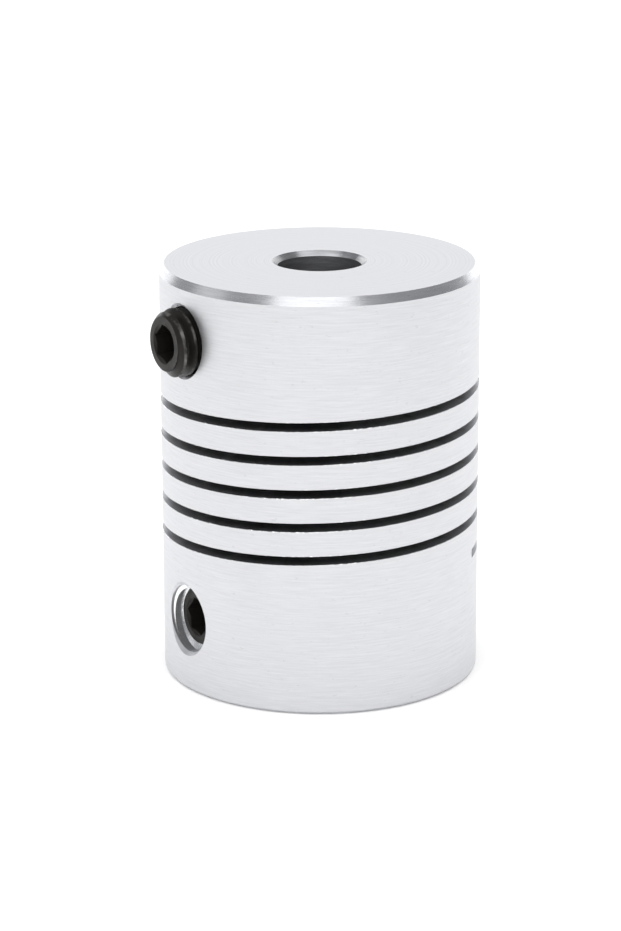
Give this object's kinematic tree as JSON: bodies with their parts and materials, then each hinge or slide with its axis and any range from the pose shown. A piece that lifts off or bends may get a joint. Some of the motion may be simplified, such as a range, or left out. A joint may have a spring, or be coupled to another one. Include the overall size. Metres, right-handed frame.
{
  "type": "flexible shaft coupling",
  "caption": "Cylindrical aluminium shaft coupling with a helical slit for flexure, stepped bores and radial set screws to join two shafts of different diameter.",
  "frame": {"origin": "centre of the lower end face, on the shaft axis", "axes": "+Z along the shaft axis towards the smaller bore; one pair of set screws lies on -X and the other on +Y"},
  "size_m": [0.0201, 0.019, 0.025],
  "materials": {
    "aluminium": "turned, fine tool marks, clear",
    "black_steel": "black oxide, lightly oiled"
  },
  "bodies": {
    "coupling": {"coupling_body": "aluminium"},
    "upper_left_screw": {"upper_left_set_screw": "black_steel"},
    "upper_rear_screw": {"upper_rear_set_screw": "black_steel"},
    "lower_left_screw": {"lower_left_set_screw": "black_steel"},
    "lower_rear_screw": {"lower_rear_set_screw": "black_steel"}
  },
  "joints": [
    {"name": "upper_left_screw_travel", "type": "slide", "parent": "coupling", "child": "upper_left_screw", "axis": [-1, 0, 0], "range_m": [-0.0042, 0.0021]},
    {"name": "upper_rear_screw_travel", "type": "slide", "parent": "coupling", "child": "upper_rear_screw", "axis": [0, 1, 0], "range_m": [-0.0021, 0.0042]},
    {"name": "lower_left_screw_travel", "type": "slide", "parent": "coupling", "child": "lower_left_screw", "axis": [-1, 0, 0], "range_m": [-0.0007, 0.0035]},
    {"name": "lower_rear_screw_travel", "type": "slide", "parent": "coupling", "child": "lower_rear_screw", "axis": [0, 1, 0], "range_m": [-0.0007, 0.0035]}
  ]
}
